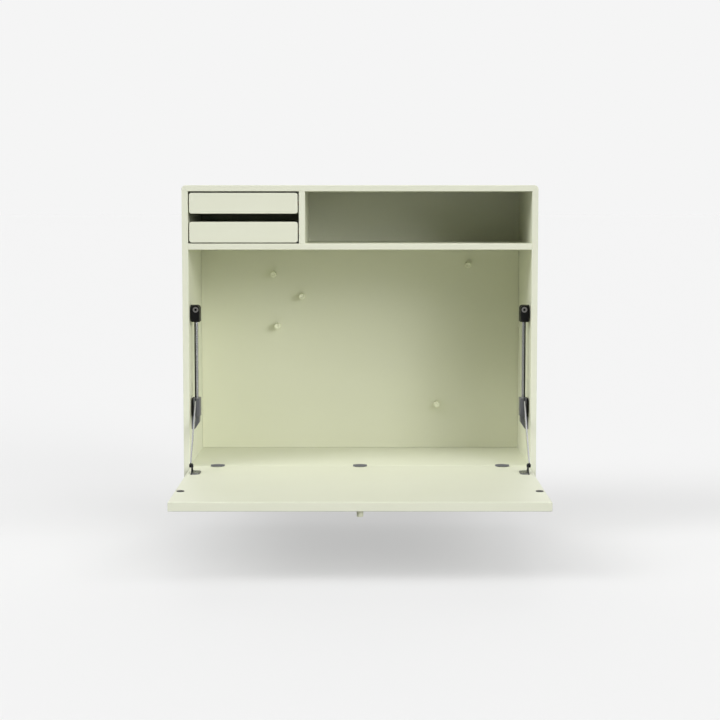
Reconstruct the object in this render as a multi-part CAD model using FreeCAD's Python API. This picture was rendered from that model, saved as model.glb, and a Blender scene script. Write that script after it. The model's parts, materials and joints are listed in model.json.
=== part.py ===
import FreeCAD, Part
import math
import os

# Fold down wall desk, in millimetres. X runs to the right, Y into the wall and Z up.
# The origin lies on the wall plane, midway between the two screws of the wall rail.

# Carcass: four mitred boards
carcass_width = 696.0
carcass_height = 582.0
carcass_depth = 300.0
board = 12.0
corner_radius = 8.0
front_arris = 0.8
mitre_gap = 0.2
spline_width = 12.0
spline_thickness = 3.0
spline_inset = 1.5
spline_stop = 20.0
spline_clearance = 0.1

# Back panel with its steel facing, held in grooves ahead of a recess for the wall rail
hanging_recess = 18.0
back_board = 10.0
back_groove_depth = 5.0
groove_clearance = 0.1
sheet_thickness = 1.0
sheet_margin = 0.5

# Shelf, divider and their dowels
upper_bay_height = 101.7
drawer_bay_width = 216.5
dowel_radius = 3.0
dowel_length = 20.0
dowel_seat = 8.0
dowel_end_clearance = 0.5
dowel_play = 0.05
dowel_place_shares = (0.2, 0.8)

# Writing boards: the fixed floor and the flap are cut from the same board
writing_board = 16.0
writing_arris = 1.0
flap_side_gap = 1.5
flap_top_gap = 2.3
hinge_half_gap = 0.3

# Long screws that hold the floor from below
floor_screw_radius = 2.0
floor_screw_head_radius = 4.0
floor_screw_head_height = 2.4
floor_screw_bite = 10.0
floor_screw_width_share = 0.6
floor_screw_depth_shares = (0.25, 0.75)

# Short screws that hold all plates and plastic parts
plate_screw_radius = 1.6
plate_screw_head_radius = 3.2
plate_screw_head_height = 1.7
plate_screw_length = 10.0
screw_play = 0.05
screw_tip_clearance = 0.3
drive_width_share = 0.28
drive_reach_share = 0.62
drive_depth_share = 0.7

# Flush flap hinges
hinge_from_side = 53.6
leaf_width = 28.0
leaf_reach = 22.0
leaf_thickness = 4.0
leaf_clearance = 0.1
leaf_screw_spacing = 15.0
leaf_screw_reach = 11.0
knuckle_radius = 2.5
knuckle_clearance = 0.3
centre_knuckle = 10.0
knuckle_end_gap = 0.2
knuckle_set_in = 0.8
hinge_pin_radius = 1.5
pin_play = 0.05

# Drop stays: rod with head and foot on the side panel, braked slider, link and flap bracket
rod_radius = 4.0
rod_from_side = 10.0
rod_behind_flap = 32.0
rod_play = 0.06
rod_socket = 12.0
foot_low_height = 98.0
foot_height = 26.7
foot_width = 15.2
foot_toe = 6.5
foot_slope = 13.4
foot_front_wall = 4.0
foot_depth = 24.0
foot_screw_from_back = 6.0
slider_rest_gap = 0.3
slider_height = 36.0
slider_width = 15.8
slider_from_side = 2.2
slider_behind_flap = 10.0
slider_back_wall = 4.0
slider_arris = 1.2
pivot_above_slider_foot = 27.0
pivot_behind_flap = 14.0
pivot_cap_radius = 3.0
pivot_cap_proud = 0.1
slot_play = 0.5
slot_end_clearance = 2.0
brake_radius = 3.0
brake_pad_length = 1.5
brake_pad_gap = 0.3
brake_play = 0.05
brake_screw_recess = 0.5
brake_height_share = 0.32
brake_socket_share = 0.5
head_low_height = 313.5
head_height = 32.3
head_width = 18.8
head_behind_flap = 1.6
head_base = 3.0
head_base_setback = 26.0
head_depth = 39.0
head_round = 6.5
head_arris = 0.8
head_screw_setback = 31.0
head_screw_seat = 1.0
head_screw_shares = (0.55, 0.85)
counterbore_play = 0.5
link_thickness = 2.5
link_width = 8.0
link_from_side = 9.2
link_play = 0.4
link_pin_radius = 2.0
link_pin_head_radius = 3.2
link_pin_head = 1.2
link_pin_gap = 0.2
bracket_reach = 96.0
bracket_pivot_height = 14.5
bracket_thickness = 2.2
bracket_width = 17.0
bracket_length = 42.0
bracket_round = 9.0
bracket_tab_base = 28.0
bracket_tab_radius = 4.5
bracket_screw_spacing = 24.0
bracket_screw_from_tab = 11.0

# Magnetic catch: magnet in the stay's head, steel disc in the flap
catch_magnet_radius = 5.5
catch_magnet_length = 6.0
catch_from_side = 11.8
catch_height_share = 0.75
catch_cup_wall_share = 0.28
catch_cup_depth = 0.6
catch_play = 0.05
strike_radius = 7.0
strike_thickness = 2.6
strike_proud = 1.2
strike_spigot_radius = 2.5
strike_spigot_length = 8.0
strike_dish_share = 0.55
strike_dish_depth = 0.4

# Knob on the flap's outer face
knob_radius = 5.8
knob_height = 11.5
knob_rim = 1.2
knob_dish = 0.8
knob_dish_share = 0.62
knob_from_edge = 15.0
knob_stud_radius = 2.0
knob_stud_in_knob = 8.0
knob_stud_in_flap = 10.0
stud_play = 0.05

# Two tray drawers on wooden runners
drawer_top_gap = 3.0
drawer_foot_gap = 2.0
drawer_side_gap = 2.25
finger_gap = 16.0
drawer_recess = 0.5
drawer_front_board = 12.0
drawer_front_corner = 5.0
drawer_rear_gap = 10.0
drawer_side_board = 10.0
drawer_bottom_board = 4.0
drawer_bottom_lift = 4.0
drawer_bottom_tongue = 4.0
drawer_box_inset = 2.0
tongue_clearance = 0.1
runner_height = 8.0
runner_groove_depth = 5.0
runner_end_clearance = 0.5
runner_running_gap = 0.3
runner_front_gap = 2.0

# Magnetic pegs on the steel facing, placed as shares of its width from the middle and of its height
peg_radius = 6.3
peg_length = 20.0
peg_rim = 1.4
peg_dish = 1.2
peg_dish_share = 0.6
peg_seat_gap = 0.1
peg_magnet_radius = 4.3
peg_magnet_length = 4.0
peg_magnet_play = 0.05
peg_place_shares = (
    (-0.272, 0.864),
    (-0.183, 0.756),
    (-0.261, 0.609),
    (0.339, 0.910),
    (0.242, 0.221),
)

# Wall rail and the hooks that hang on it
rail_screw_drop = 82.0
rail_side_clearance = 56.0
rail_gauge = 2.5
rail_height = 36.0
rail_standoff = 10.0
rail_lip = 12.0
rail_hole_radius = 3.0
rail_hole_spacing = 400.0
hook_from_rail_end = 60.0
hook_width = 60.0
hook_plate_drop = 52.0
hook_lip_gap = 2.0
hook_wall_gap = 2.5
hook_screw_spacing = 36.0
hook_screw_drop = 40.0

# One length by which every cut runs past what it cuts
overrun = 5.0

# Planes that the pieces share
front_y = -carcass_depth
top_z = rail_screw_drop
underside_z = top_z - carcass_height
inner_half = carcass_width / 2 - board
floor_z = underside_z + board
desk_z = floor_z + writing_board
ceiling_z = top_z - board
shelf_top_z = ceiling_z - upper_bay_height
shelf_z = shelf_top_z - board
back_rear_y = -hanging_recess
back_front_y = back_rear_y - back_board
sheet_y = back_front_y - sheet_thickness
axis_y = front_y + writing_board
divider_x = -inner_half + drawer_bay_width
flap_half = inner_half - flap_side_gap
flap_rear_y = axis_y - hinge_half_gap
flap_length = shelf_z - flap_top_gap - desk_z
flap_front_y = axis_y - flap_length
flap_under_z = desk_z - writing_board

# Points of the left stay; the right one is its mirror image
side_x = -inner_half
rod_x = side_x + rod_from_side
rod_y = axis_y + rod_behind_flap
foot_z = underside_z + foot_low_height
foot_top_z = foot_z + foot_height
slider_z = foot_top_z + slider_rest_gap
pivot_y = axis_y + pivot_behind_flap
pivot_z = slider_z + pivot_above_slider_foot
head_z = underside_z + head_low_height
head_y = axis_y + head_behind_flap
link_x = side_x + link_from_side
bracket_y = axis_y - bracket_reach
bracket_z = desk_z + bracket_pivot_height
tab_x = link_x + link_thickness / 2 + link_play
catch_x = side_x + catch_from_side
catch_z = head_z + head_height * catch_height_share
strike_y = axis_y - (catch_z - desk_z)


def vec(x, y, z):
    return FreeCAD.Vector(x, y, z)


RIGHT = vec(1, 0, 0)
LEFT = vec(-1, 0, 0)
BACK = vec(0, 1, 0)
FRONT = vec(0, -1, 0)
UP = vec(0, 0, 1)
DOWN = vec(0, 0, -1)


def box(x0, x1, y0, y1, z0, z1):
    return Part.makeBox(x1 - x0, y1 - y0, z1 - z0, vec(x0, y0, z0))


def rod(radius, start, direction, length):
    return Part.makeCylinder(radius, length, start, direction)


def prism(points, travel):
    face = Part.Face(Part.makePolygon(points + points[:1]))
    return face.extrude(travel)


def fuse(shapes):
    whole = shapes[0].multiFuse(shapes[1:])
    return whole.removeSplitter()


def cut(shape, tools):
    return shape.cut(Part.makeCompound(tools)) if tools else shape


def round_edges(shape, radius, wanted):
    edges = [edge for edge in shape.Edges if wanted(edge)]
    return shape.makeFillet(radius, edges)


def runs_along(edge, direction):
    if edge.Curve.TypeId != "Part::GeomLine":
        return False
    return abs(edge.tangentAt(edge.FirstParameter).dot(direction)) > math.cos(math.radians(1))


def near(a, b):
    return abs(a - b) < groove_clearance / 10


def mirrored(shape):
    return shape.mirror(vec(0, 0, 0), RIGHT)


def group(solids):
    return Part.makeCompound(solids)


def turned(direction, point):
    return FreeCAD.Placement(point, FreeCAD.Rotation(DOWN, direction))


# A countersunk screw whose head lies flush at the point, driven along the direction
def screw(point, direction, radius, head_radius, head_height, length):
    shank = rod(radius, vec(0, 0, 0), DOWN, length)
    head = Part.makeCone(head_radius, radius, head_height, vec(0, 0, 0), DOWN)
    half = head_radius * drive_width_share / 2
    reach = head_radius * drive_reach_share
    depth = head_height * drive_depth_share
    slot = box(-reach, reach, -half, half, -depth, overrun)
    cross = box(-half, half, -reach, reach, -depth, overrun)
    whole = cut(fuse([shank, head]), [fuse([slot, cross])])
    whole.Placement = turned(direction, point)
    return whole


# The room that such a screw takes out of the pieces it passes
def screw_room(point, direction, radius, head_radius, head_height, length):
    shank = rod(radius + screw_play, vec(0, 0, 0), DOWN, length + screw_tip_clearance)
    head = Part.makeCone(head_radius + screw_play, radius + screw_play, head_height, vec(0, 0, 0), DOWN)
    mouth = rod(head_radius + screw_play, vec(0, 0, 0), UP, screw_tip_clearance)
    room = fuse([shank, head, mouth])
    room.Placement = turned(direction, point)
    return room


plate_screw = (plate_screw_radius, plate_screw_head_radius, plate_screw_head_height, plate_screw_length)
floor_screw = (
    floor_screw_radius,
    floor_screw_head_radius,
    floor_screw_head_height,
    board + floor_screw_bite,
)


# A turned knob with a rounded rim and a dished end, standing on the point
def turned_knob(point, direction, radius, height, rim, dish, dish_share):
    blank = rod(radius, vec(0, 0, 0), DOWN, height)
    blank = round_edges(blank, rim, lambda edge: near(edge.BoundBox.ZMax, -height))
    dish_radius = radius * dish_share
    ball_radius = (dish_radius**2 + dish**2) / (dish * 2)
    ball = Part.makeSphere(ball_radius, vec(0, 0, dish - height - ball_radius))
    knob = blank.cut(ball)
    knob.Placement = turned(direction, point)
    return knob


# Mitred carcass

def carcass_ring():
    half = carcass_width / 2
    outer = box(-half, half, front_y, 0, underside_z, top_z)
    outer = round_edges(outer, corner_radius, lambda edge: runs_along(edge, BACK))
    inner = box(-inner_half, inner_half, front_y - overrun, overrun, floor_z, ceiling_z)
    ring = outer.cut(inner)
    return round_edges(ring, front_arris, lambda edge: near(edge.BoundBox.YMax, front_y))


def mitre_splines(growth):
    middle = board / 2 + spline_inset
    half_width = spline_width / 2 + growth
    half_thickness = spline_thickness / 2 + growth
    start_y = front_y + spline_stop - growth
    end_y = back_front_y - spline_stop + growth
    splines = []
    for x_side in (-1, 1):
        for z_end in (-1, 1):
            spline = box(-half_width, half_width, start_y, end_y, -half_thickness, half_thickness)
            lean = FreeCAD.Rotation(BACK, 45 * x_side * z_end)
            x = x_side * (carcass_width / 2 - middle)
            z = underside_z + middle if z_end < 0 else top_z - middle
            spline.Placement = FreeCAD.Placement(vec(x, 0, z), lean)
            splines.append(spline)
    return splines


def carcass_panels():
    half = carcass_width / 2
    ease = mitre_gap / math.sqrt(2)
    depth = vec(0, carcass_depth, 0)
    side = [
        vec(-half, front_y, underside_z + ease),
        vec(-inner_half, front_y, floor_z + ease),
        vec(-inner_half, front_y, ceiling_z - ease),
        vec(-half, front_y, top_z - ease),
    ]
    top = [
        vec(-half + ease, front_y, top_z),
        vec(-inner_half + ease, front_y, ceiling_z),
        vec(inner_half - ease, front_y, ceiling_z),
        vec(half - ease, front_y, top_z),
    ]
    bottom = [
        vec(-half + ease, front_y, underside_z),
        vec(-inner_half + ease, front_y, floor_z),
        vec(inner_half - ease, front_y, floor_z),
        vec(half - ease, front_y, underside_z),
    ]
    ring = carcass_ring()
    left_panel = ring.common(prism(side, depth))
    return {
        "side_panel_left": left_panel,
        "side_panel_right": mirrored(left_panel),
        "top_panel": ring.common(prism(top, depth)),
        "bottom_panel": ring.common(prism(bottom, depth)),
    }


def back_groove():
    half = inner_half + back_groove_depth
    return box(
        -half,
        half,
        back_front_y - groove_clearance,
        back_rear_y + groove_clearance,
        floor_z - back_groove_depth,
        ceiling_z + back_groove_depth,
    )


def back_panel():
    tongue = back_groove_depth - groove_clearance
    half = inner_half + tongue
    return box(-half, half, back_front_y, back_rear_y, floor_z - tongue, ceiling_z + tongue)


def magnet_sheet():
    half = inner_half - sheet_margin
    return box(-half, half, sheet_y, back_front_y, desk_z + sheet_margin, shelf_z - sheet_margin)


def shelf():
    blank = box(-inner_half, inner_half, front_y, back_front_y, shelf_z, shelf_top_z)
    return round_edges(blank, front_arris, lambda edge: front_long_edge(edge, RIGHT))


def divider():
    blank = box(divider_x, divider_x + board, front_y, back_front_y, shelf_top_z, ceiling_z)
    return round_edges(blank, front_arris, lambda edge: front_long_edge(edge, UP))


def front_long_edge(edge, direction):
    return runs_along(edge, direction) and near(edge.BoundBox.YMax, front_y)


def dowel_places():
    depth = back_front_y - front_y
    places = []
    for share in dowel_place_shares:
        y = front_y + depth * share
        shelf_mid = shelf_z + board / 2
        divider_mid = divider_x + board / 2
        places.append((vec(-inner_half - dowel_seat, y, shelf_mid), RIGHT))
        places.append((vec(inner_half + dowel_seat, y, shelf_mid), LEFT))
        places.append((vec(divider_mid, y, shelf_top_z - dowel_seat), UP))
        places.append((vec(divider_mid, y, ceiling_z + dowel_seat), DOWN))
    return places


def dowels():
    return [rod(dowel_radius, start, way, dowel_length) for start, way in dowel_places()]


def dowel_holes():
    holes = []
    for start, way in dowel_places():
        mouth = start - way * dowel_end_clearance
        length = dowel_length + dowel_end_clearance + dowel_end_clearance
        holes.append(rod(dowel_radius + dowel_play, mouth, way, length))
    return holes


# Fixed floor and flap

def floor_board():
    joint_y = axis_y + hinge_half_gap
    blank = box(-inner_half, inner_half, joint_y, back_front_y, floor_z, desk_z)

    def joint_edge(edge):
        reach = edge.BoundBox
        return runs_along(edge, RIGHT) and near(reach.YMax, joint_y) and near(reach.ZMin, desk_z)

    return round_edges(blank, writing_arris, joint_edge)


def floor_screw_places():
    depth = back_front_y - axis_y
    reach = inner_half * floor_screw_width_share
    return [
        (vec(side * reach, axis_y + depth * share, underside_z), UP)
        for side in (-1, 1)
        for share in floor_screw_depth_shares
    ]


def flap_blank():
    blank = box(-flap_half, flap_half, flap_front_y, flap_rear_y, flap_under_z, desk_z)

    def free_edge(edge):
        return not near(edge.BoundBox.YMin, flap_rear_y) or near(edge.BoundBox.ZMin, desk_z)

    return round_edges(blank, writing_arris, free_edge)


# Flush hinges: reach is counted from the hinge line, backwards for the floor and forwards for the flap

def leaf_outline(x, way, growth, low_z, high_z):
    half = leaf_width / 2 + growth
    centre_y = axis_y + way * (leaf_reach - leaf_width / 2)
    near_y, far_y = sorted((axis_y, centre_y))
    straight = box(x - half, x + half, near_y, far_y, low_z, high_z)
    end = rod(half, vec(x, centre_y, low_z), UP, high_z - low_z)
    keep_y = sorted((axis_y, axis_y + way * (leaf_reach + overrun)))
    keep = box(x - half, x + half, *keep_y, low_z, high_z)
    return fuse([straight, end]).common(keep)


def hinge_places():
    outer = inner_half - hinge_from_side
    return [-outer, 0, outer]


def leaf_screw_places(x, way):
    y = axis_y + way * leaf_screw_reach
    return [(vec(x + side * leaf_screw_spacing / 2, y, desk_z), DOWN) for side in (-1, 1)]


def knuckle_spans(way):
    centre = centre_knuckle / 2
    if way > 0:
        return [(-centre, centre)]
    outer = leaf_width / 2 - knuckle_set_in
    return [(-outer, -centre - knuckle_end_gap), (centre + knuckle_end_gap, outer)]


def barrel(x, span, radius, ease):
    start, end = span
    point = vec(x + start - ease, axis_y, desk_z)
    return rod(radius, point, RIGHT, end - start + ease + ease)


def hinge_leaf(x, way):
    plate = leaf_outline(x, way, -leaf_clearance, desk_z - leaf_thickness, desk_z)
    joint = box(
        x - leaf_width,
        x + leaf_width,
        axis_y - hinge_half_gap,
        axis_y + hinge_half_gap,
        desk_z - leaf_thickness - overrun,
        desk_z + overrun,
    )
    plate = plate.cut(joint)
    own = [barrel(x, span, knuckle_radius, 0) for span in knuckle_spans(way)]
    other = [
        barrel(x, span, knuckle_radius + knuckle_clearance, knuckle_end_gap)
        for span in knuckle_spans(-way)
    ]
    leaf = cut(fuse([plate] + own), other)
    bore = barrel(x, (-leaf_width, leaf_width), hinge_pin_radius + pin_play, 0)
    rooms = [screw_room(point, turn, *plate_screw) for point, turn in leaf_screw_places(x, way)]
    return cut(leaf, [bore] + rooms)


def hinge_leaves(way):
    return [hinge_leaf(x, way) for x in hinge_places()]


def hinge_recesses(way):
    low = desk_z - leaf_thickness - groove_clearance
    return [leaf_outline(x, way, 0, low, desk_z + overrun) for x in hinge_places()]


def hinge_pins():
    half = leaf_width / 2 - knuckle_set_in
    return [barrel(x, (-half, half), hinge_pin_radius, 0) for x in hinge_places()]


# Left drop stay

def stay_rod():
    low = foot_top_z - rod_socket
    high = head_z + rod_socket
    return rod(rod_radius, vec(rod_x, rod_y, low), UP, high - low)


def rod_room(low_z, high_z):
    return rod(rod_radius + rod_play, vec(rod_x, rod_y, low_z), UP, high_z - low_z)


def stay_foot():
    inner_x = side_x + foot_width
    toe_x = side_x + foot_toe
    front = rod_y - rod_radius - foot_front_wall
    outline = [
        vec(side_x, front, foot_z),
        vec(toe_x, front, foot_z),
        vec(inner_x, front, foot_z + foot_slope),
        vec(inner_x, front, foot_top_z),
        vec(side_x, front, foot_top_z),
    ]
    block = prism(outline, vec(0, foot_depth, 0))
    socket = rod_room(foot_top_z - rod_socket - screw_tip_clearance, foot_top_z + overrun)
    return cut(block, [socket] + seated_screw_rooms(foot_screw_places(), inner_x))


def foot_screw_places():
    front = rod_y - rod_radius - foot_front_wall
    seat_x = side_x + head_base + head_screw_seat
    y = front + foot_depth - foot_screw_from_back
    return [(vec(seat_x, y, (foot_z + foot_slope + foot_top_z) / 2), LEFT)]


# Screws deep in a moulding, each with its counterbore out to the inner face
def seated_screw_rooms(places, inner_x):
    rooms = []
    for point, way in places:
        rooms.append(screw_room(point, way, *plate_screw))
        length = inner_x - point.x + overrun
        rooms.append(rod(plate_screw_head_radius + counterbore_play, point, RIGHT, length))
    return rooms


def stay_head():
    inner_x = side_x + head_width
    base_x = side_x + head_base
    top = head_z + head_height
    back = head_y + head_depth
    body = box(base_x, inner_x, head_y, back, head_z, top)

    def inner_top(edge):
        return runs_along(edge, BACK) and near(edge.BoundBox.XMin, inner_x) and near(edge.BoundBox.ZMin, top)

    body = round_edges(body, head_round, inner_top)
    body = round_edges(body, head_arris, lambda edge: near(edge.BoundBox.YMax, head_y))
    base = box(side_x, base_x, head_y + head_base_setback, back, head_z, top)
    socket = rod_room(head_z - overrun, head_z + rod_socket + screw_tip_clearance)
    pocket = rod(catch_magnet_radius + catch_play, vec(catch_x, head_y, catch_z), BACK, catch_magnet_length)
    rooms = seated_screw_rooms(head_screw_places(), inner_x)
    return cut(fuse([body, base]), [socket, pocket] + rooms)


def head_screw_places():
    seat_x = side_x + head_base + head_screw_seat
    y = head_y + head_screw_setback
    return [(vec(seat_x, y, head_z + head_height * share), LEFT) for share in head_screw_shares]


def catch_magnet():
    magnet = rod(catch_magnet_radius, vec(catch_x, head_y, catch_z), BACK, catch_magnet_length)
    inner = catch_magnet_radius * (1 - catch_cup_wall_share)
    core = inner * (1 - catch_cup_wall_share)
    moat = rod(inner, vec(catch_x, head_y, catch_z), BACK, catch_cup_depth)
    moat = moat.cut(rod(core, vec(catch_x, head_y, catch_z), BACK, catch_cup_depth))
    return magnet.cut(moat)


def link_end_radius():
    return link_width / 2


def slider():
    low_x = side_x + slider_from_side
    high_x = low_x + slider_width
    front = axis_y + slider_behind_flap
    back = rod_y + rod_radius + slider_back_wall
    top = slider_z + slider_height
    block = box(low_x, high_x, front, back, slider_z, top)

    def upright(edge):
        return runs_along(edge, UP) or near(edge.BoundBox.YMax, front)

    block = round_edges(block, slider_arris, upright)
    caps = rod(
        pivot_cap_radius,
        vec(low_x - pivot_cap_proud, pivot_y, pivot_z),
        RIGHT,
        slider_width + pivot_cap_proud + pivot_cap_proud,
    )
    half_slot = link_thickness / 2 + slot_play
    slot_end = pivot_y + link_end_radius() + slot_end_clearance
    slot = box(
        link_x - half_slot,
        link_x + half_slot,
        front - overrun,
        slot_end,
        slider_z - overrun,
        top + overrun,
    )
    bore = rod_room(slider_z - overrun, top + overrun)
    brake_hole = rod(brake_radius + brake_play, vec(rod_x, rod_y, brake_z()), RIGHT, slider_width)
    return cut(fuse([block, caps]), [slot, bore, brake_hole])


def brake_z():
    return slider_z + slider_height * brake_height_share


def brake_pad():
    start = rod_x + rod_radius + brake_pad_gap
    return rod(brake_radius, vec(start, rod_y, brake_z()), RIGHT, brake_pad_length)


def brake_screw():
    start = rod_x + rod_radius + brake_pad_gap + brake_pad_length
    end = side_x + slider_from_side + slider_width - brake_screw_recess
    body = rod(brake_radius, vec(start, rod_y, brake_z()), RIGHT, end - start)
    corners = [
        vec(
            (start + end) / 2,
            rod_y + brake_radius * brake_socket_share * math.cos(math.radians(60 * step)),
            brake_z() + brake_radius * brake_socket_share * math.sin(math.radians(60 * step)),
        )
        for step in range(6)
    ]
    return body.cut(prism(corners, vec(end - start, 0, 0)))


def stay_link():
    low_x = link_x - link_thickness / 2
    span = math.hypot(pivot_y - bracket_y, pivot_z - bracket_z)
    ends = []
    for y, z in ((bracket_y, bracket_z), (pivot_y, pivot_z)):
        ends.append(rod(link_end_radius(), vec(low_x, y, z), RIGHT, link_thickness))
    half = link_width / 2
    bar = box(0, link_thickness, 0, span, -half, half)
    lean = math.degrees(math.atan2(pivot_z - bracket_z, pivot_y - bracket_y))
    bar.Placement = FreeCAD.Placement(vec(low_x, bracket_y, bracket_z), FreeCAD.Rotation(RIGHT, lean))
    pin_hole = pin_bore(bracket_y, bracket_z)
    rivet_hole = pin_bore(pivot_y, pivot_z)
    return cut(fuse([bar] + ends), [pin_hole, rivet_hole])


def pin_bore(y, z):
    start = vec(link_x - link_thickness, y, z)
    return rod(link_pin_radius + pin_play, start, RIGHT, link_thickness * 2)


def link_pin():
    head_x = link_x - link_thickness / 2 - link_pin_gap - link_pin_head
    rivet_x = tab_x + bracket_thickness
    shank = rod(link_pin_radius, vec(head_x, bracket_y, bracket_z), RIGHT, rivet_x - head_x)
    head = rod(link_pin_head_radius, vec(head_x, bracket_y, bracket_z), RIGHT, link_pin_head)
    rivet = rod(link_pin_head_radius, vec(rivet_x, bracket_y, bracket_z), RIGHT, link_pin_head)
    return fuse([shank, head, rivet])


def flap_bracket():
    rear = bracket_y + bracket_length / 2
    front = bracket_y - bracket_length / 2
    inner_x = tab_x + bracket_width
    plate = box(tab_x, inner_x, front, rear, desk_z, desk_z + bracket_thickness)
    plate = round_edges(plate, bracket_round, lambda e: runs_along(e, UP) and near(e.BoundBox.XMin, inner_x))
    half_base = bracket_tab_base / 2
    outline = [
        vec(tab_x, bracket_y - half_base, desk_z),
        vec(tab_x, bracket_y + half_base, desk_z),
        vec(tab_x, bracket_y + bracket_tab_radius, bracket_z),
        vec(tab_x, bracket_y - bracket_tab_radius, bracket_z),
    ]
    tab = prism(outline, vec(bracket_thickness, 0, 0))
    eye = rod(bracket_tab_radius, vec(tab_x, bracket_y, bracket_z), RIGHT, bracket_thickness)
    bore_start = vec(tab_x - overrun, bracket_y, bracket_z)
    bore = rod(link_pin_radius + pin_play, bore_start, RIGHT, bracket_thickness + overrun * 2)
    rooms = [screw_room(point, way, *plate_screw) for point, way in bracket_screw_places()]
    return cut(fuse([plate, tab, eye]), [bore] + rooms)


def bracket_screw_places():
    x = tab_x + bracket_screw_from_tab
    top = desk_z + bracket_thickness
    return [(vec(x, bracket_y + side * bracket_screw_spacing / 2, top), DOWN) for side in (-1, 1)]


def strike_disc():
    seat = vec(catch_x, strike_y, desk_z - strike_thickness)
    face = vec(catch_x, strike_y, desk_z + strike_proud)
    disc = rod(strike_radius, seat, UP, strike_thickness + strike_proud)
    spigot = rod(strike_spigot_radius, seat, DOWN, strike_spigot_length)
    dish = rod(strike_radius * strike_dish_share, face, DOWN, strike_dish_depth)
    return fuse([disc, spigot]).cut(dish)


def strike_room():
    seat = vec(catch_x, strike_y, desk_z - strike_thickness)
    recess = rod(strike_radius + catch_play, seat, UP, strike_thickness + overrun)
    hole_depth = strike_spigot_length + screw_tip_clearance
    hole = rod(strike_spigot_radius + catch_play, seat, DOWN, hole_depth)
    return fuse([recess, hole])


# Knob of the flap

def knob_point():
    return vec(0, flap_front_y + knob_from_edge, flap_under_z)


def knob_stud():
    start = knob_point() + UP * knob_stud_in_flap
    return rod(knob_stud_radius, start, DOWN, knob_stud_in_flap + knob_stud_in_knob)


def knob_stud_room():
    start = knob_point() + UP * (knob_stud_in_flap + screw_tip_clearance)
    length = knob_stud_in_flap + knob_stud_in_knob + screw_tip_clearance + screw_tip_clearance
    return rod(knob_stud_radius + stud_play, start, DOWN, length)


def flap_knob():
    knob = turned_knob(knob_point(), DOWN, knob_radius, knob_height, knob_rim, knob_dish, knob_dish_share)
    return knob.cut(knob_stud_room())


# Tray drawers

drawer_low_x = -inner_half + drawer_side_gap
drawer_high_x = divider_x - drawer_side_gap
drawer_height = (upper_bay_height - drawer_top_gap - drawer_foot_gap - finger_gap) / 2
drawer_front_y = front_y + drawer_recess
drawer_box_y = drawer_front_y + drawer_front_board
drawer_rear_y = back_front_y - drawer_rear_gap
drawer_low_zs = {
    "upper": ceiling_z - drawer_top_gap - drawer_height,
    "lower": shelf_top_z + drawer_foot_gap,
}


def runner_z(low_z):
    return low_z + (drawer_height - runner_height) / 2


def drawer_runners():
    reach = drawer_side_gap + runner_groove_depth - runner_end_clearance
    start_y = drawer_box_y + runner_front_gap
    runners = []
    for low_z in drawer_low_zs.values():
        low = runner_z(low_z)
        high = low + runner_height
        runners.append(box(-inner_half, -inner_half + reach, start_y, back_front_y, low, high))
        runners.append(box(divider_x - reach, divider_x, start_y, back_front_y, low, high))
    return runners


def drawer_pieces(low_z):
    box_low = low_z + drawer_box_inset
    box_high = low_z + drawer_height - drawer_box_inset
    bottom_low = box_low + drawer_bottom_lift
    bottom_high = bottom_low + drawer_bottom_board
    inner_low_x = drawer_low_x + drawer_side_board
    inner_high_x = drawer_high_x - drawer_side_board
    back_y = drawer_rear_y - drawer_side_board
    tongue = drawer_bottom_tongue - tongue_clearance
    bottom = box(
        inner_low_x - tongue,
        inner_high_x + tongue,
        drawer_box_y - tongue,
        back_y + tongue,
        bottom_low,
        bottom_high,
    )
    bottom_groove = box(
        inner_low_x - drawer_bottom_tongue,
        inner_high_x + drawer_bottom_tongue,
        drawer_box_y - drawer_bottom_tongue,
        back_y + drawer_bottom_tongue,
        bottom_low - tongue_clearance,
        bottom_high + tongue_clearance,
    )
    front = box(drawer_low_x, drawer_high_x, drawer_front_y, drawer_box_y, low_z, low_z + drawer_height)
    front = round_edges(front, drawer_front_corner, lambda edge: runs_along(edge, BACK))
    front = round_edges(front, front_arris, lambda edge: near(edge.BoundBox.YMax, drawer_front_y))
    low_run = runner_z(low_z) - runner_running_gap
    high_run = runner_z(low_z) + runner_height + runner_running_gap
    sides = []
    for outer_x, inner_x, way in ((drawer_low_x, inner_low_x, 1), (drawer_high_x, inner_high_x, -1)):
        side = box(*sorted((outer_x, inner_x)), drawer_box_y, drawer_rear_y, box_low, box_high)
        groove_x = sorted((outer_x - way * overrun, outer_x + way * runner_groove_depth))
        groove = box(*groove_x, drawer_box_y - overrun, drawer_rear_y + overrun, low_run, high_run)
        sides.append(cut(side, [groove, bottom_groove]))
    rear = box(inner_low_x, inner_high_x, back_y, drawer_rear_y, box_low, box_high)
    return {
        "front": front.cut(bottom_groove),
        "sides": group(sides),
        "back": rear.cut(bottom_groove),
        "bottom": bottom,
    }


# Pegs

def peg_points():
    width = inner_half * 2
    height = shelf_z - desk_z
    return [
        vec(width * x_share, sheet_y - peg_seat_gap, desk_z + height * z_share)
        for x_share, z_share in peg_place_shares
    ]


def peg(point):
    knob = turned_knob(point, FRONT, peg_radius, peg_length, peg_rim, peg_dish, peg_dish_share)
    pocket = rod(
        peg_magnet_radius + peg_magnet_play, point, FRONT, peg_magnet_length + peg_magnet_play
    )
    return knob.cut(pocket)


def peg_magnet(point):
    return rod(peg_magnet_radius, point, FRONT, peg_magnet_length)


# Wall rail and hooks

rail_half = inner_half - rail_side_clearance
rail_top_z = rail_height / 2
lip_top_z = rail_top_z + rail_lip


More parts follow.
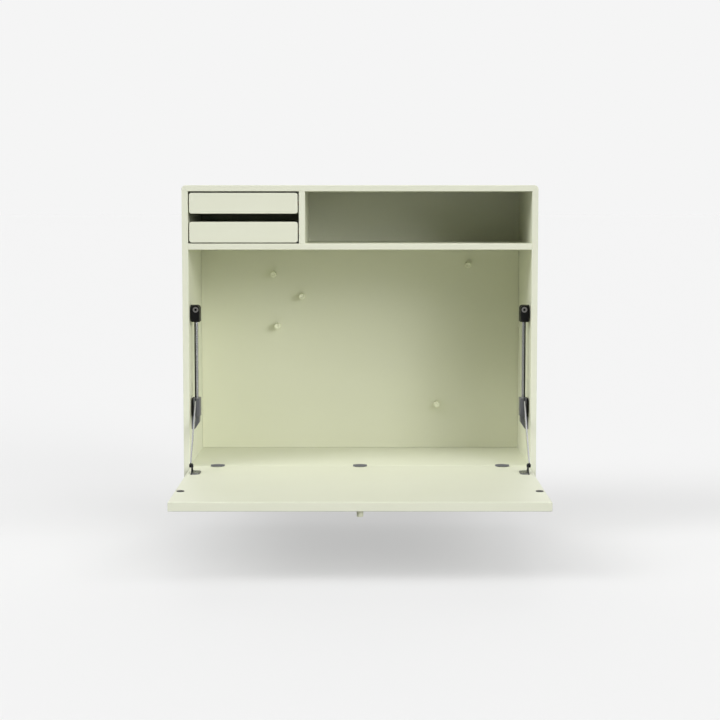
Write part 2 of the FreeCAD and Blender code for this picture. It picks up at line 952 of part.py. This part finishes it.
def wall_rail():
    outline = [
        vec(-rail_half, 0, -rail_top_z),
        vec(-rail_half, 0, rail_top_z),
        vec(-rail_half, -rail_standoff + rail_gauge, rail_top_z),
        vec(-rail_half, -rail_standoff + rail_gauge, lip_top_z),
        vec(-rail_half, -rail_standoff, lip_top_z),
        vec(-rail_half, -rail_standoff, rail_top_z - rail_gauge),
        vec(-rail_half, -rail_gauge, rail_top_z - rail_gauge),
        vec(-rail_half, -rail_gauge, -rail_top_z),
    ]
    profile = prism(outline, vec(rail_half * 2, 0, 0))
    holes = [
        rod(rail_hole_radius, vec(side * rail_hole_spacing / 2, -overrun, 0), BACK, overrun * 2)
        for side in (-1, 1)
    ]
    return cut(profile, holes)


def hook_screw_places(x):
    y = back_rear_y + rail_gauge
    z = lip_top_z + rail_gauge - hook_screw_drop
    return [(vec(x + side * hook_screw_spacing / 2, y, z), FRONT) for side in (-1, 1)]


def hanger_hook(x):
    low_x = x - hook_width / 2
    top = lip_top_z + rail_gauge
    lip_low = rail_top_z + hook_lip_gap
    outline = [
        vec(low_x, back_rear_y, top - hook_plate_drop),
        vec(low_x, back_rear_y, top),
        vec(low_x, -hook_wall_gap, top),
        vec(low_x, -hook_wall_gap, lip_low),
        vec(low_x, -hook_wall_gap - rail_gauge, lip_low),
        vec(low_x, -hook_wall_gap - rail_gauge, lip_top_z),
        vec(low_x, back_rear_y + rail_gauge, lip_top_z),
        vec(low_x, back_rear_y + rail_gauge, top - hook_plate_drop),
    ]
    rooms = [screw_room(point, way, *plate_screw) for point, way in hook_screw_places(x)]
    return cut(prism(outline, vec(hook_width, 0, 0)), rooms)


def hook_places():
    reach = rail_half - hook_from_rail_end
    return [-reach, reach]


# Every node of the desk

def plate_screws(places):
    return [screw(point, way, *plate_screw) for point, way in places]


def plate_rooms(places):
    return [screw_room(point, way, *plate_screw) for point, way in places]


def mirror_places(places):
    return [(vec(-point.x, point.y, point.z), vec(-way.x, way.y, way.z)) for point, way in places]


def both_sides(solid):
    return [solid, mirrored(solid)]


def build():
    stay_places = head_screw_places() + foot_screw_places()
    stay_places = stay_places + mirror_places(stay_places)
    floor_hinge_places = [place for x in hinge_places() for place in leaf_screw_places(x, 1)]
    flap_hinge_places = [place for x in hinge_places() for place in leaf_screw_places(x, -1)]
    hook_screws = [place for x in hook_places() for place in hook_screw_places(x)]
    flap_bracket_places = bracket_screw_places() + mirror_places(bracket_screw_places())
    floor_rooms = [screw_room(point, way, *floor_screw) for point, way in floor_screw_places()]
    spline_slots = mitre_splines(spline_clearance)
    holes = dowel_holes()

    nodes = {}
    for name, panel in carcass_panels().items():
        rooms = plate_rooms(stay_places) if name.startswith("side") else []
        rooms = rooms + (floor_rooms if name == "bottom_panel" else [])
        nodes[name] = cut(panel, [back_groove()] + spline_slots + holes + rooms)
    nodes["mitre_splines"] = group(mitre_splines(0))
    nodes["shelf"] = cut(shelf(), holes)
    nodes["divider"] = cut(divider(), holes)
    nodes["carcass_dowels"] = group(dowels())
    nodes["back_panel"] = cut(back_panel(), plate_rooms(hook_screws))
    nodes["magnet_sheet"] = magnet_sheet()
    nodes["floor_board"] = cut(
        floor_board(), hinge_recesses(1) + plate_rooms(floor_hinge_places) + floor_rooms
    )
    nodes["floor_screws"] = group([screw(point, way, *floor_screw) for point, way in floor_screw_places()])
    nodes["carcass_screws"] = group(plate_screws(stay_places + floor_hinge_places + hook_screws))
    nodes["drawer_runners"] = group(drawer_runners())
    nodes["wall_rail"] = wall_rail()
    nodes["hanger_hooks"] = group([hanger_hook(x) for x in hook_places()])
    nodes["hinge_floor_leaves"] = group(hinge_leaves(1))
    nodes["hinge_pins"] = group(hinge_pins())

    strikes = both_sides(strike_room())
    flap_rooms = plate_rooms(flap_hinge_places + flap_bracket_places)
    nodes["flap_panel"] = cut(flap_blank(), hinge_recesses(-1) + flap_rooms + strikes + [knob_stud_room()])
    nodes["hinge_flap_leaves"] = group(hinge_leaves(-1))
    nodes["flap_screws"] = group(plate_screws(flap_hinge_places + flap_bracket_places))
    nodes["strike_discs"] = group(both_sides(strike_disc()))
    nodes["flap_knob"] = flap_knob()
    nodes["knob_stud"] = knob_stud()

    nodes["stay_rods"] = group(both_sides(stay_rod()))
    nodes["catch_magnets"] = group(both_sides(catch_magnet()))
    nodes["link_pins"] = group(both_sides(link_pin()))
    paired = {
        "stay_head": stay_head(),
        "stay_foot": stay_foot(),
        "slider": slider(),
        "brake_pad": brake_pad(),
        "brake_screw": brake_screw(),
        "stay_link": stay_link(),
        "flap_bracket": flap_bracket(),
    }
    for name, solid in paired.items():
        nodes[name + "_left"] = solid
        nodes[name + "_right"] = mirrored(solid)

    for level, low_z in drawer_low_zs.items():
        for name, shape in drawer_pieces(low_z).items():
            nodes["drawer_" + level + "_" + name] = shape

    for number, point in enumerate(peg_points(), start=1):
        nodes["peg_" + str(number)] = peg(point)
        nodes["peg_magnet_" + str(number)] = peg_magnet(point)
    return nodes


def main():
    os.makedirs("parts", exist_ok=True)
    for name, shape in build().items():
        shape.exportStep("parts/" + name + ".step")
        print(name, len(shape.Solids), "solid(s)", round(shape.Volume), "mm3", "valid", shape.isValid())


main()
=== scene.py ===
import json
import math

import bmesh
import bpy
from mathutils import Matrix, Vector


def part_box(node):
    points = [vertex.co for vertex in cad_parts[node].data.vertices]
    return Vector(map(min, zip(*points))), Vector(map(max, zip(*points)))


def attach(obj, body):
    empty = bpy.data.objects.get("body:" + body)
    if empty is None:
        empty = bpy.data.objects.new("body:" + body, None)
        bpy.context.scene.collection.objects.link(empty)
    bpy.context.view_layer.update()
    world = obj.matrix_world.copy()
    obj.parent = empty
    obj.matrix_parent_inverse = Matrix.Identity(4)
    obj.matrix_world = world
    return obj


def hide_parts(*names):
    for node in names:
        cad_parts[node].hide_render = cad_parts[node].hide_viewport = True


# Fold down wall desk in pale green lacquer
# Lengths are in metres, and sizes are written in millimetres times MM
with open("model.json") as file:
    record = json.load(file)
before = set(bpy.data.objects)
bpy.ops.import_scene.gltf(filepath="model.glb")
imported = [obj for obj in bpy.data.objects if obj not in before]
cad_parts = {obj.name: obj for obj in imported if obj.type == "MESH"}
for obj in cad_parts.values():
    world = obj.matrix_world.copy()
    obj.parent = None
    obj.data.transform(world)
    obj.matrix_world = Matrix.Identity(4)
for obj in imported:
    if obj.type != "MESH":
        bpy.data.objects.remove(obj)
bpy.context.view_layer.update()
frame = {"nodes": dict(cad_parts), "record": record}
nodes = frame["nodes"]
slot_of = {row["node"]: row["material_slot"] for row in frame["record"]["subparts"]}
body_of = {node: body for body, names in frame["record"]["behaviour"]["bodies"].items() for node in names}

MM = 0.001

# Camera, fitted to the carcass's edges
LENS_MM = 84.94
SENSOR_MM = 36.0
CAMERA_AHEAD = 3327 * MM
CAMERA_ABOVE_UNDERSIDE = 536.3 * MM
CAMERA_PITCH = math.radians(5.09)

# Studio: a pale floor under the hanging desk, a faint dome and broad lights
# A light's turn and height are in degrees, its turn counts from the front to the right
FLOOR_BELOW = 120 * MM
FLOOR_REACH = 200.0
STUDIO_HEX = "F5F5F5"
FLOOR_HEX = "E9E9E9"
FLOOR_BOUNCE_HEX = "959595"
SHADOW_SHARE = 0.5
DOME_RISE = (0.15, 0.2)
DOME_LEVEL = 0.15
LAMPS = {
    "low_key_light": {"strength": 0.86, "turn": 45, "height": 12, "width": 30},
    "high_key_light": {"strength": 0.74, "turn": 32, "height": 25, "width": 30},
    "left_low_light": {"strength": 0.83, "turn": -65, "height": 25, "width": 30},
    "left_light": {"strength": 0.8, "turn": -65, "height": 40, "width": 30},
    "left_front_light": {"strength": 0.52, "turn": -32, "height": 50, "width": 30},
    "right_front_light": {"strength": 0.35, "turn": 32, "height": 60, "width": 30},
    "right_light": {"strength": 0.58, "turn": 72, "height": 40, "width": 30},
    "back_light": {"strength": 0.8, "turn": 180, "height": 35, "width": 40},
    "top_light": {"strength": 0.16, "turn": 0, "height": 88, "width": 30},
}

# Mesh finish
WELD = 0.001 * MM
FLAT_ANGLE = math.radians(0.5)
CREASE_ANGLE = math.radians(50)
ARRIS_STEPS = 2
ARRIS_OF_SLOT = {
    "black_plastic": 0.5 * MM,
    "grey_plastic": 0.8 * MM,
    "die_cast_zinc": 0.25 * MM,
    "galvanised_steel": 0.3 * MM,
    "beech": 0.4 * MM,
}

# Stay fittings: where each piece with two finishes changes from one to the other; the black wall sides of
# the rods and sliders and the black bracket tabs are painted shade
ROD_PAINTED_SHADE_FROM_SIDE = 9.2 * MM
SLIDER_PAINTED_SHADE_FROM_SIDE = 5.3 * MM
LINK_EYE_RADIUS = 4.0 * MM
LINK_EYE_REACH = 3.4 * MM
BRACKET_PAINTED_SHADE_TAB = 2.2 * MM
MAGNET_CAP_PROFILE = ((0.0, -0.2), (1.3, -0.2), (2.3, -0.1), (2.75, 0.1), (2.75, 0.5))
ROUND_STEPS = 48

# Patterns of the finishes
TONE_DRIFT = 140 * MM
TOOL_GRAIN = 0.5 * MM  # finer on the real desk, and drawn as coarse as it needs to show
BEECH_FLECK = 2.5 * MM
RELIEF_DEPTH = 0.05 * MM


# Materials

def linear(code):
    """An sRGB hex colour as linear red, green, blue and alpha."""
    parts = [int(code[i : i + 2], 16) / 255 for i in (0, 2, 4)]
    return tuple(c / 12.92 if c <= 0.04045 else ((c + 0.055) / 1.055) ** 2.4 for c in parts) + (1.0,)


def per(size):
    """The texture scale at which a pattern repeats about once in that size."""
    return 1 / size


def add(tree, kind, inputs=None, **settings):
    """A node with its settings; an input that is given a socket is linked to it, any other is set."""
    made = tree.nodes.new(kind)
    for name, value in settings.items():
        setattr(made, name, value)
    for name, value in (inputs or {}).items():
        if isinstance(value, bpy.types.NodeSocket):
            tree.links.new(value, made.inputs[name])
        else:
            made.inputs[name].default_value = value
    return made


def new_material(name):
    made = bpy.data.materials.new(name)
    made.use_nodes = True
    made.node_tree.nodes.clear()
    return made, made.node_tree


def satin_lacquer(name, pale_hex, deep_hex, peel, roughness):
    """Sprayed satin lacquer: an even pale green, a very soft sheen and the fine orange peel of spraying."""
    made, tree = new_material(name)
    place = add(tree, "ShaderNodeTexCoord").outputs["Object"]
    drift = add(tree, "ShaderNodeTexNoise", {"Vector": place, "Scale": per(TONE_DRIFT), "Detail": 2.0})
    tone = add(
        tree,
        "ShaderNodeMix",
        {0: drift.outputs["Fac"], 6: linear(pale_hex), 7: linear(deep_hex)},
        data_type="RGBA",
    )
    grain = add(tree, "ShaderNodeTexNoise", {"Vector": place, "Scale": per(peel), "Detail": 1.0})
    gloss = add(
        tree,
        "ShaderNodeMapRange",
        {"Value": grain.outputs["Fac"], "To Min": roughness - 0.03, "To Max": roughness + 0.03},
    )
    relief = add(
        tree, "ShaderNodeBump", {"Height": grain.outputs["Fac"], "Strength": 0.06, "Distance": RELIEF_DEPTH}
    )
    coat = add(
        tree,
        "ShaderNodeBsdfPrincipled",
        {
            "Base Color": tone.outputs[2],
            "Roughness": gloss.outputs["Result"],
            "IOR": 1.49,
            "Normal": relief.outputs["Normal"],
        },
    )
    add(tree, "ShaderNodeOutputMaterial", {"Surface": coat.outputs["BSDF"]})
    return made


def moulded_plastic(name, colour_hex, roughness, gleam):
    """Moulded plastic or rubber: even colour, the grain of a spark eroded tool, which dims the gleam."""
    made, tree = new_material(name)
    place = add(tree, "ShaderNodeTexCoord").outputs["Object"]
    grain = add(tree, "ShaderNodeTexNoise", {"Vector": place, "Scale": per(TOOL_GRAIN), "Detail": 2.0})
    relief = add(
        tree, "ShaderNodeBump", {"Height": grain.outputs["Fac"], "Strength": 0.25, "Distance": RELIEF_DEPTH}
    )
    shell = add(
        tree,
        "ShaderNodeBsdfPrincipled",
        {
            "Base Color": linear(colour_hex),
            "Roughness": roughness,
            "IOR": 1.53,
            "Specular IOR Level": gleam,
            "Normal": relief.outputs["Normal"],
        },
    )
    add(tree, "ShaderNodeOutputMaterial", {"Surface": shell.outputs["BSDF"]})
    return made


def bare_metal(name, colour_hex, roughness, grain_size, stretch, relief_strength):
    """Drawn, plated or coated metal: marks along the way it was worked break up the reflection.
    Real marks are finer, and these are drawn as coarse as they need to show."""
    made, tree = new_material(name)
    place = add(tree, "ShaderNodeTexCoord").outputs["Object"]
    along = add(tree, "ShaderNodeMapping", {"Vector": place, "Scale": stretch})
    marks = add(
        tree,
        "ShaderNodeTexNoise",
        {"Vector": along.outputs["Vector"], "Scale": per(grain_size), "Detail": 3.0},
    )
    gloss = add(
        tree,
        "ShaderNodeMapRange",
        {"Value": marks.outputs["Fac"], "To Min": roughness - 0.06, "To Max": roughness + 0.06},
    )
    relief = add(
        tree,
        "ShaderNodeBump",
        {"Height": marks.outputs["Fac"], "Strength": relief_strength, "Distance": RELIEF_DEPTH},
    )
    metal = add(
        tree,
        "ShaderNodeBsdfPrincipled",
        {
            "Base Color": linear(colour_hex),
            "Metallic": 1.0,
            "Roughness": gloss.outputs["Result"],
            "Normal": relief.outputs["Normal"],
        },
    )
    add(tree, "ShaderNodeOutputMaterial", {"Surface": metal.outputs["BSDF"]})
    return made


def planed_beech(name):
    """Planed beech: pale pinkish brown with short dark flecks along the grain, which runs front to back."""
    made, tree = new_material(name)
    place = add(tree, "ShaderNodeTexCoord").outputs["Object"]
    along = add(tree, "ShaderNodeMapping", {"Vector": place, "Scale": (1.0, 0.06, 1.0)})
    figure = add(
        tree,
        "ShaderNodeTexNoise",
        {"Vector": along.outputs["Vector"], "Scale": per(BEECH_FLECK), "Detail": 5.0},
    )
    tone = add(tree, "ShaderNodeValToRGB", {"Fac": figure.outputs["Fac"]})
    tone.color_ramp.elements[0].position = 0.3
    tone.color_ramp.elements[0].color = linear("A9805A")
    tone.color_ramp.elements[1].position = 0.7
    tone.color_ramp.elements[1].color = linear("D2AE85")
    wood = add(
        tree,
        "ShaderNodeBsdfPrincipled",
        {"Base Color": tone.outputs["Color"], "Roughness": 0.5, "IOR": 1.5},
    )
    add(tree, "ShaderNodeOutputMaterial", {"Surface": wood.outputs["BSDF"]})
    return made


ALIKE = (1.0, 1.0, 1.0)
UPRIGHT = (1.0, 1.0, 0.04)
finishes = {
    "lacquered_board": satin_lacquer("satin_lacquer_on_fibreboard", "E3E5D2", "DFE1CC", 1.6 * MM, 0.5),
    "lacquered_steel": satin_lacquer("satin_lacquer_on_steel", "E2E4CC", "DEE0C6", 1.1 * MM, 0.46),
    # The knob and pegs are lacquered paler than the boards; the paler tone is painted light that makes them
    # brighter than the boards' lacquer would be under these lamps
    "lacquered_knob": satin_lacquer("paler_satin_lacquer_on_turned_wood_for_painted_light", "F0F2D8", "ECEED2", 0.9 * MM, 0.42),
    "beech": planed_beech("planed_beech"),
    "black_plastic": moulded_plastic("black_moulded_plastic", "09090A", 0.55, 0.2),
    "grey_plastic": moulded_plastic("dark_grey_moulded_plastic", "606166", 0.45, 0.5),
    "die_cast_zinc": bare_metal("coated_die_cast_zinc", "86878D", 0.42, 0.6 * MM, ALIKE, 0.15),
    "steel": bare_metal("bright_drawn_steel", "C9CACD", 0.24, 0.8 * MM, UPRIGHT, 0.08),
    # On the bracket tabs this black stands in as painted shade
    "black_steel": bare_metal("blackened_steel", "3A3A3D", 0.42, 0.5 * MM, ALIKE, 0.1),
    "magnet": bare_metal("nickel_plate", "BDBBB7", 0.3, 0.8 * MM, ALIKE, 0.05),
    "galvanised_steel": bare_metal("galvanised_steel", "A9ADB2", 0.42, 9 * MM, ALIKE, 0.1),
    "brake_rubber": moulded_plastic("moulded_brake_rubber", "1C1C1C", 0.75, 0.5),
}


# Pieces

def is_crease(edge):
    return len(edge.link_faces) == 2 and edge.calc_face_angle() > CREASE_ANGLE


def place_piece(name, bm, slot, body, replaced):
    """Makes a bmesh a piece that rides on its body, smooth but for its creases, in its slot's finish."""
    for face in bm.faces:
        face.smooth = True
    for edge in bm.edges:
        edge.smooth = not is_crease(edge)
    mesh = bpy.data.meshes.new(name)
    bm.to_mesh(mesh)
    bm.free()
    if "custom_normal" in mesh.attributes:
        mesh.attributes.remove(mesh.attributes["custom_normal"])
    mesh.materials.append(finishes[slot])
    piece = bpy.data.objects.new(name, mesh)
    bpy.context.scene.collection.objects.link(piece)
    flatten = piece.modifiers.new("even_flats", "WEIGHTED_NORMAL")
    flatten.keep_sharp = True
    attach(piece, body)
    if replaced:
        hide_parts(*replaced)
    return piece


def ease_arrises(bm, width):
    bmesh.ops.bevel(
        bm,
        geom=[edge for edge in bm.edges if is_crease(edge)],
        offset=width,
        offset_type="OFFSET",
        segments=ARRIS_STEPS,
        profile=0.5,
        affect="EDGES",
        material=-1,
        clamp_overlap=True,
    )


def merged_copy(node):
    bm = bmesh.new()
    bm.from_mesh(nodes[node].data)
    bmesh.ops.remove_doubles(bm, verts=bm.verts, dist=WELD)
    bmesh.ops.dissolve_limit(bm, angle_limit=FLAT_ANGLE, verts=bm.verts, edges=bm.edges)
    return bm


def node_piece(name, node, slot, planes=()):
    """A piece of the node's own shape, with smooth rounds, and sharp edges eased as its finish leaves them.
    Each plane is a point and a direction: what lies behind it is cut off, and the cut is closed."""
    bm = merged_copy(node)
    for point, ahead in planes:
        every = bm.verts[:] + bm.edges[:] + bm.faces[:]
        cut = bmesh.ops.bisect_plane(
            bm, geom=every, dist=WELD, plane_co=point, plane_no=ahead, clear_inner=True
        )
        rim = [part for part in cut["geom_cut"] if isinstance(part, bmesh.types.BMEdge)]
        bmesh.ops.holes_fill(bm, edges=rim)
    if slot in ARRIS_OF_SLOT:
        ease_arrises(bm, ARRIS_OF_SLOT[slot])
    return place_piece(name, bm, slot, body_of[node], [node])


def turned(profile, centre):
    """A round piece about a line along Y through the centre, from pairs of radius and place in mm."""
    bm = bmesh.new()
    line = [bm.verts.new(centre + Vector((radius * MM, along * MM, 0))) for radius, along in profile]
    line += [bm.edges.new(pair) for pair in zip(line, line[1:])]
    bmesh.ops.spin(
        bm, geom=line, cent=centre, axis=(0, 1, 0), angle=2 * math.pi, steps=ROUND_STEPS, use_merge=True
    )
    bmesh.ops.remove_doubles(bm, verts=bm.verts, dist=WELD)
    bmesh.ops.recalc_face_normals(bm, faces=bm.faces)
    return bm


def stay_fittings(side, wall):
    """One stay in its two finishes, whose black wall sides are painted shade; wall is the direction of the
    side panel that it hangs on.
    """
    middle = Vector((0, 0, 0))
    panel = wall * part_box("shelf")[1].x
    # The wall side of the rod is drawn in black plastic as painted shade
    rod_shade_cut = panel - wall * ROD_PAINTED_SHADE_FROM_SIDE
    node_piece("stay_rod_painted_shade_side_" + side, "stay_rods", "black_plastic", [(rod_shade_cut, wall)])
    node_piece("stay_rod_" + side, "stay_rods", "steel", [(rod_shade_cut, -wall), (middle, wall)])
    # The wall side of the slider is drawn in black plastic as painted shade
    slider_shade_cut = panel - wall * SLIDER_PAINTED_SHADE_FROM_SIDE
    slider = "slider_" + side
    node_piece(slider + "_painted_shade_side", slider, "black_plastic", [(slider_shade_cut, wall)])
    node_piece(slider + "_body", slider, "grey_plastic", [(slider_shade_cut, -wall)])

    link = "stay_link_" + side
    low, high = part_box(link)
    inset = Vector((0, LINK_EYE_RADIUS, LINK_EYE_RADIUS))
    along = (high - low - inset - inset) * Vector((0, 1, 1))
    eye_cut = low + inset + along.normalized() * LINK_EYE_REACH
    node_piece(link + "_eye", link, "black_plastic", [(eye_cut, -along)])
    node_piece(link + "_bar", link, "steel", [(eye_cut, along)])

    bracket = "flap_bracket_" + side
    # The wall-side tab of the bracket is blackened as painted shade
    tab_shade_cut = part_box(bracket)[0 if wall.x < 0 else 1] - wall * BRACKET_PAINTED_SHADE_TAB
    node_piece(bracket + "_painted_shade_tab", bracket, "black_steel", [(tab_shade_cut, wall)])
    node_piece(bracket + "_plate", bracket, "die_cast_zinc", [(tab_shade_cut, -wall)])


def magnet_caps():
    """The dark plastic cap in the middle of each catch magnet."""
    low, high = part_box("catch_magnets")
    radius = (high.z - low.z) / 2
    for side, x in (("left", low.x + radius), ("right", high.x - radius)):
        cap = turned(MAGNET_CAP_PROFILE, Vector((x, low.y, low.z + radius)))
        place_piece("catch_magnet_cap_" + side, cap, "black_plastic", "carcass", [])


SIDES = {"left": Vector((-1, 0, 0)), "right": Vector((1, 0, 0))}
SPLIT_KINDS = ("slider_", "stay_link_", "flap_bracket_")
split_nodes = {"stay_rods"} | {kind + side for kind in SPLIT_KINDS for side in SIDES}
for name in sorted(set(nodes) - split_nodes):
    node_piece(name + "_piece", name, slot_of[name])
for side, wall in SIDES.items():
    stay_fittings(side, wall)
magnet_caps()


# Studio

def studio_floor():
    """Pale floor whose soft shadow is lightened for the eye; from below it is clear."""
    bm = bmesh.new()
    bmesh.ops.create_grid(bm, x_segments=1, y_segments=1, size=FLOOR_REACH)
    bmesh.ops.translate(bm, verts=bm.verts, vec=(0, 0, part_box("bottom_panel")[0].z - FLOOR_BELOW))
    mesh = bpy.data.meshes.new("studio_floor")
    bm.to_mesh(mesh)
    bm.free()
    made, tree = new_material("pale_studio_floor")
    seen = add(tree, "ShaderNodeLightPath").outputs["Is Camera Ray"]
    lift = add(tree, "ShaderNodeMath", {0: seen, 1: 1 - SHADOW_SHARE}, operation="MULTIPLY")
    shade = add(
        tree,
        "ShaderNodeMix",
        {0: seen, 6: linear(FLOOR_BOUNCE_HEX), 7: linear(FLOOR_HEX)},
        data_type="RGBA",
    )
    paint = add(tree, "ShaderNodeBsdfDiffuse", {"Color": shade.outputs[2]})
    glow = add(tree, "ShaderNodeEmission", {"Color": linear(STUDIO_HEX)})
    lifted = add(
        tree,
        "ShaderNodeMixShader",
        {0: lift.outputs[0], 1: paint.outputs["BSDF"], 2: glow.outputs["Emission"]},
    )
    clear = add(tree, "ShaderNodeBsdfTransparent")
    below = add(tree, "ShaderNodeNewGeometry").outputs["Backfacing"]
    shown = add(
        tree, "ShaderNodeMixShader", {0: below, 1: lifted.outputs["Shader"], 2: clear.outputs["BSDF"]}
    )
    add(tree, "ShaderNodeOutputMaterial", {"Surface": shown.outputs["Shader"]})
    mesh.materials.append(made)
    floor = bpy.data.objects.new("studio_floor", mesh)
    bpy.context.scene.collection.objects.link(floor)


def studio_light():
    world = bpy.data.worlds.new("studio")
    world.use_nodes = True
    tree = world.node_tree
    tree.nodes.clear()
    way = add(tree, "ShaderNodeTexCoord").outputs["Generated"]
    rise = add(tree, "ShaderNodeSeparateXYZ", {"Vector": way}).outputs["Z"]
    level = add(
        tree,
        "ShaderNodeMapRange",
        {"Value": rise, "From Min": DOME_RISE[0], "From Max": DOME_RISE[1], "To Max": DOME_LEVEL},
    )
    dome = add(
        tree, "ShaderNodeBackground", {"Color": linear("FFFFFF"), "Strength": level.outputs["Result"]}
    )
    backdrop = add(tree, "ShaderNodeBackground", {"Color": linear(STUDIO_HEX)})
    seen = add(tree, "ShaderNodeLightPath").outputs["Is Camera Ray"]
    sky = add(
        tree,
        "ShaderNodeMixShader",
        {0: seen, 1: dome.outputs["Background"], 2: backdrop.outputs["Background"]},
    )
    add(tree, "ShaderNodeOutputWorld", {"Surface": sky.outputs["Shader"]})
    bpy.context.scene.world = world

    for name, aim in LAMPS.items():
        lamp = bpy.data.lights.new(name, "SUN")
        lamp.energy = aim["strength"]
        lamp.angle = math.radians(aim["width"])
        light = bpy.data.objects.new(name, lamp)
        light.rotation_euler = (math.radians(90 - aim["height"]), 0, math.radians(aim["turn"]))
        bpy.context.scene.collection.objects.link(light)


def studio_camera():
    lens = bpy.data.cameras.new("camera")
    lens.lens = LENS_MM
    lens.sensor_width = SENSOR_MM
    lens.clip_end = FLOOR_REACH
    camera = bpy.data.objects.new("camera", lens)
    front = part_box("top_panel")[0].y
    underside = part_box("bottom_panel")[0].z
    camera.location = (0, front - CAMERA_AHEAD, underside + CAMERA_ABOVE_UNDERSIDE)
    camera.rotation_euler = (math.pi / 2 - CAMERA_PITCH, 0, 0)
    bpy.context.scene.collection.objects.link(camera)
    bpy.context.scene.camera = camera


studio_floor()
studio_light()
studio_camera()
bpy.context.scene.view_settings.view_transform = "Standard"
